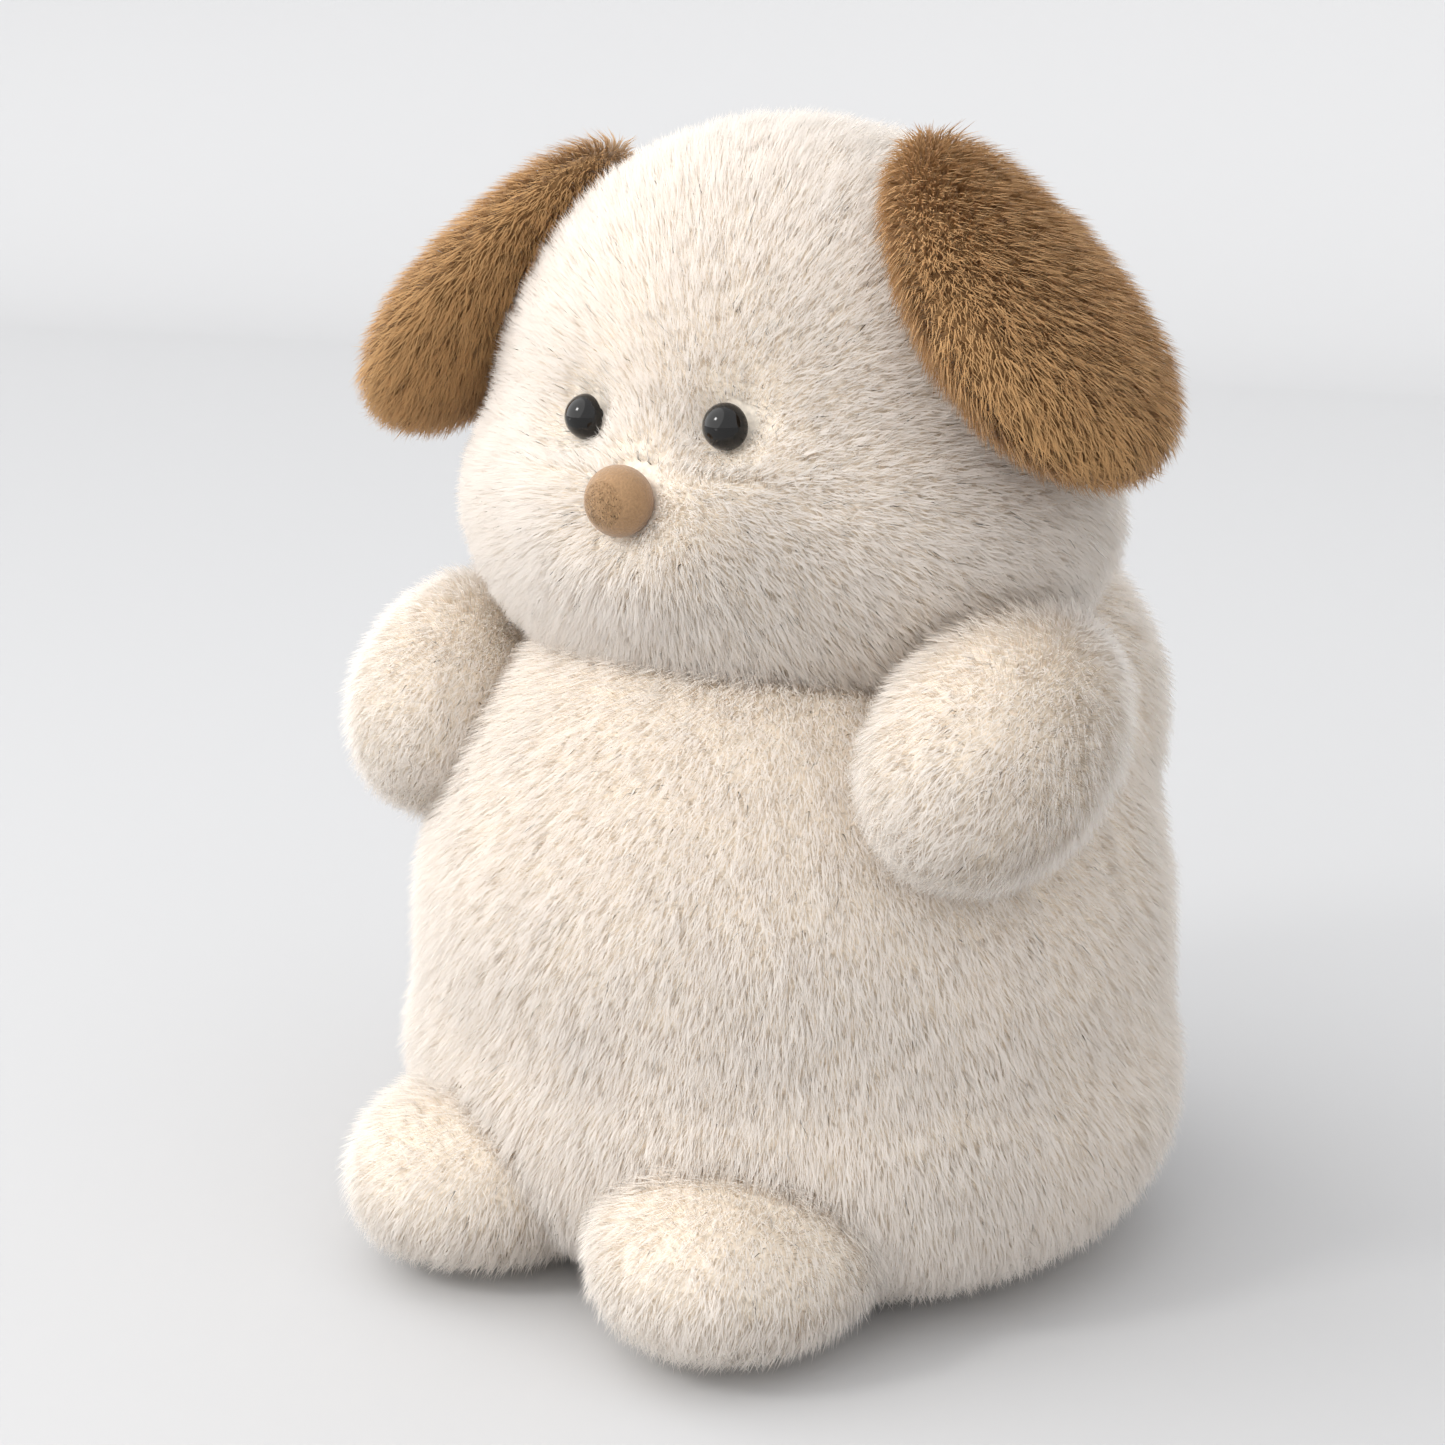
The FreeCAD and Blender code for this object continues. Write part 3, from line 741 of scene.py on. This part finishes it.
def limb_surface(lobe, inset, taper):
    """A lobe's ellipsoid whose girth changes along its own Z: across it is scaled by
    1 + taper times (own Z over radius), so a positive taper is wide at the top."""
    centre, radii, tilt = LOBES[lobe]
    directions, triangles = globe_grid(64, 44)
    girth = 1.0 + taper * directions[:, 2]
    own = directions * (np.array(radii) - inset)
    own[:, 0] *= girth
    own[:, 1] *= girth
    return np.array(centre) + own @ turn_matrix(tilt).T, triangles


def own_axis(lobe):
    """The lobe's own Z in the toy's frame."""
    return turn_matrix(LOBES[lobe][2])[:, 2]


class PLUSH_OT_ears(bpy.types.Operator):
    """Make both ears: a plump brown lobe, narrow at the root, with long pile"""
    bl_idname = "plush.ears"
    bl_label = "Ears"

    def execute(self, context):
        pile = context.scene.plush_pile
        for seed, side in enumerate(("left", "right")):
            lobe = f"{side}_ear"
            points, triangles = limb_surface(lobe, pile.cover_inset, -0.22)
            cover(f"{lobe}_cover", points, triangles, brown_cloth(), f"ear_{side}",
                  (f"{lobe}_outer_panel", f"{lobe}_lining", f"{lobe}_stuffing"))
            rng = np.random.default_rng(20 + seed)
            places, normals = scatter(points, triangles, strand_count(EAR_STRANDS), rng)
            keep = depth_inside(places, HEAD_LOBES) < 0.004
            places, normals = places[keep], normals[keep]
            down = -own_axis(lobe)
            away = unit(places - (np.array(LOBES[lobe][0]) - down * 0.05))
            comb = unit(away + down * 0.4 + np.array([0, 0, -0.35]))
            tone = 0.5 + 0.32 * wave_noise(places, 0.03, 8)
            lengths = np.full(len(places), pile.ear_length)
            pile_piece(f"{lobe}_pile", f"ear_{side}", brown_pile(), places, normals, comb, lengths,
                       tone, rng, "brown_plush", clump=0.0052, lean=0.95)
        return {"FINISHED"}


class PLUSH_OT_limbs(bpy.types.Operator):
    """Make the arms, feet and tail: stuffed covers with cream pile"""
    bl_idname = "plush.limbs"
    bl_label = "Arms, feet and tail"

    def execute(self, context):
        limbs = (
            ("left_arm", "arm_left", -0.06, ARM_STRANDS, ("outer_panel", "inner_panel")),
            ("right_arm", "arm_right", -0.06, ARM_STRANDS, ("outer_panel", "inner_panel")),
            ("left_leg", "leg_left", 0.0, LEG_STRANDS, ()),
            ("right_leg", "leg_right", 0.0, LEG_STRANDS, ()),
            ("tail", "tail", 0.0, TAIL_STRANDS, ("left_panel", "right_panel")),
        )
        for seed, (lobe, body, taper, strands, panels) in enumerate(limbs):
            self.limb(context, lobe, body, taper, strands, panels, seed)
        return {"FINISHED"}

    def limb(self, context, lobe, body, taper, strands, panels, seed):
        """One limb's cover and pile: arms are combed along their own Z, feet forward and
        down, and the tail backward and down."""
        pile = context.scene.plush_pile
        points, triangles = limb_surface(lobe, pile.cover_inset, taper)
        replaced = [f"{lobe}_{panel}" for panel in panels] + [f"{lobe}_stuffing"]
        if lobe.endswith("_leg"):
            points[:, 2] = np.maximum(points[:, 2], FLAT_AT)
            foot = lobe.replace("_leg", "_foot")
            replaced += [f"{foot}_upper_panel", f"{foot}_sole"]
        cover(f"{lobe}_cover", points, triangles, cream_cloth(), body, replaced)
        rng = np.random.default_rng(30 + seed)
        places, normals = scatter(points, triangles, strand_count(strands), rng)
        keep = depth_inside(places, TORSO_LOBES) < 0.004
        keep &= depth_inside(places, HEAD_LOBES) < 0.004
        keep &= (places[:, 2] > 0.003) | (rng.random(len(places)) < 0.25)
        places, normals = places[keep], normals[keep]
        centre = np.array(LOBES[lobe][0])
        if lobe.endswith("_arm"):
            flow = -own_axis(lobe)
        elif lobe.endswith("_leg"):
            flow = np.array([0.1 * np.sign(centre[0]), -0.5, -0.8])
        else:
            flow = np.array([0, 0.5, -0.8])
        comb = unit(flow + 0.25 * unit(places - centre))
        tone = 0.5 + 0.18 * wave_noise(places, 0.04, 9 + seed)
        lengths = pile.body_length * 0.95 * shorten_low(places)
        pile_piece(f"{lobe}_pile", body, cream_pile(), places, normals, comb, lengths, tone, rng,
                   "cream_plush")


# ---- stage ----

TARGET = (0.0015, -0.0208, 0.1493)
CAMERA_DISTANCE = 0.611
CAMERA_AZIMUTH = 37.0
CAMERA_ELEVATION = 13.0
CAMERA_LENS = 55.4
AIR_STRENGTH = 1.30
SKY_ENERGY = 2.1
SKY_ANGLE = 100             # degrees: a very wide, soft sun
SKY_PLACE = (-0.80, -0.90, 0.68)
KEY_PLACE = (-0.55, -1.25, 1.15)
KEY_SIZE = (0.3, 0.3)
KEY_POWER = 7.0


def look_at(thing, target):
    """Turns a camera or lamp so that its -Z points at the target and +Y stays upward."""
    direction = Vector(target) - thing.location
    thing.rotation_euler = direction.to_track_quat("-Z", "Y").to_euler()


def soft_box(name, place, target, size, power, tone):
    """A rectangular area lamp turned to the target."""
    lamp = bpy.data.lights.new(name, "AREA")
    lamp.shape = "RECTANGLE"
    lamp.size, lamp.size_y = size
    lamp.energy = power
    lamp.color = tone
    thing = bpy.data.objects.new(name, lamp)
    thing.location = place
    look_at(thing, target)
    bpy.context.scene.collection.objects.link(thing)


class PLUSH_OT_stage(bpy.types.Operator):
    """Make the seamless studio floor, the soft lights and the camera"""
    bl_idname = "plush.stage"
    bl_label = "Stage"

    def execute(self, context):
        scene = context.scene
        self.floor(scene)
        world = bpy.data.worlds.new("studio_air")
        world.use_nodes = True
        air = world.node_tree.nodes["Background"]
        air.inputs[0].default_value = (0.97, 0.98, 1.0, 1.0)
        air.inputs[1].default_value = AIR_STRENGTH
        scene.world = world
        sky = bpy.data.lights.new("soft_sky", "SUN")
        sky.energy = SKY_ENERGY
        sky.angle = math.radians(SKY_ANGLE)
        sky.color = (1.0, 0.985, 0.965)
        thing = bpy.data.objects.new("soft_sky", sky)
        thing.location = SKY_PLACE
        look_at(thing, (0, 0, 0))
        scene.collection.objects.link(thing)
        soft_box("key_box", KEY_PLACE, (0, 0, 0.2), KEY_SIZE, KEY_POWER, (1.0, 0.99, 0.97))
        scene.view_settings.view_transform = "Standard"
        scene.cycles.max_bounces = 16
        scene.cycles.diffuse_bounces = 12
        scene.cycles.transmission_bounces = 12
        self.camera(scene)
        return {"FINISHED"}

    def floor(self, scene):
        """A wide sheet that lies flat and curves up far behind: across is X, and the second
        parameter runs along the floor, round a quarter circle and up a wall."""
        tones = scene.plush_colours
        bend = np.linspace(0, np.pi / 2, 12)
        run = np.concatenate([np.linspace(-4.0, 3.0, 30), 3.0 + 1.5 * np.sin(bend), [4.5, 4.5]])
        rise = np.concatenate([np.zeros(30), 1.5 - 1.5 * np.cos(bend), [2.0, 5.0]])
        across = np.linspace(-12.0, 12.0, 12)
        x, y = np.meshgrid(across, run, indexing="ij")
        _, z = np.meshgrid(across, rise, indexing="ij")
        points = np.stack([x, y, z], -1).reshape(-1, 3)
        row, column = np.meshgrid(np.arange(11), np.arange(43), indexing="ij")
        here = row * 44 + column
        faces = np.concatenate([
            np.stack([here, here + 44, here + 45], -1).reshape(-1, 3),
            np.stack([here, here + 45, here + 1], -1).reshape(-1, 3)])
        sheet = new_mesh("studio_floor", points, faces)
        material, nodes, links, shader, _ = shader_tree("studio_paper")
        shader.inputs["Base Color"].default_value = rgba(tones.floor)
        shader.inputs["Roughness"].default_value = 0.85
        shader.inputs["Specular IOR Level"].default_value = 0.2
        sheet.data.materials.append(material)

    def camera(self, scene):
        a, e = math.radians(CAMERA_AZIMUTH), math.radians(CAMERA_ELEVATION)
        back = (math.sin(a) * math.cos(e), -math.cos(a) * math.cos(e), math.sin(e))
        eye = bpy.data.cameras.new("studio_camera")
        eye.lens = CAMERA_LENS
        eye.sensor_width = 36.0
        eye.clip_start = 0.02
        eye.clip_end = 50.0
        thing = bpy.data.objects.new("studio_camera", eye)
        thing.location = [TARGET[k] + CAMERA_DISTANCE * back[k] for k in range(3)]
        look_at(thing, TARGET)
        scene.collection.objects.link(thing)
        scene.camera = thing


class PLUSH_PT_panel(bpy.types.Panel):
    """Lists the toy's sizes, colours and pieces"""
    bl_idname = "PLUSH_PT_panel"
    bl_label = "Plush Dog"
    bl_space_type = "VIEW_3D"
    bl_region_type = "UI"
    bl_category = "Plush Dog"

    def draw(self, context):
        scene = context.scene
        for group in (scene.plush_pile, scene.plush_colours):
            for key in group.__annotations__:
                self.layout.prop(group, key)
        for step in STEPS:
            self.layout.operator(step.bl_idname)


STEPS = (PLUSH_OT_body, PLUSH_OT_head, PLUSH_OT_eyes, PLUSH_OT_nose, PLUSH_OT_ears, PLUSH_OT_limbs,
         PLUSH_OT_stage)
CLASSES = (PileSettings, ColourSettings) + STEPS + (PLUSH_PT_panel,)


def register():
    for item in CLASSES:
        bpy.utils.register_class(item)
    bpy.types.Scene.plush_pile = bpy.props.PointerProperty(type=PileSettings)
    bpy.types.Scene.plush_colours = bpy.props.PointerProperty(type=ColourSettings)


def unregister():
    del bpy.types.Scene.plush_colours
    del bpy.types.Scene.plush_pile
    for item in reversed(CLASSES):
        bpy.utils.unregister_class(item)


def main():
    register()
    for step in STEPS:
        group, name = step.bl_idname.split(".")
        getattr(getattr(bpy.ops, group), name)()


if __name__ == "__main__":
    main()
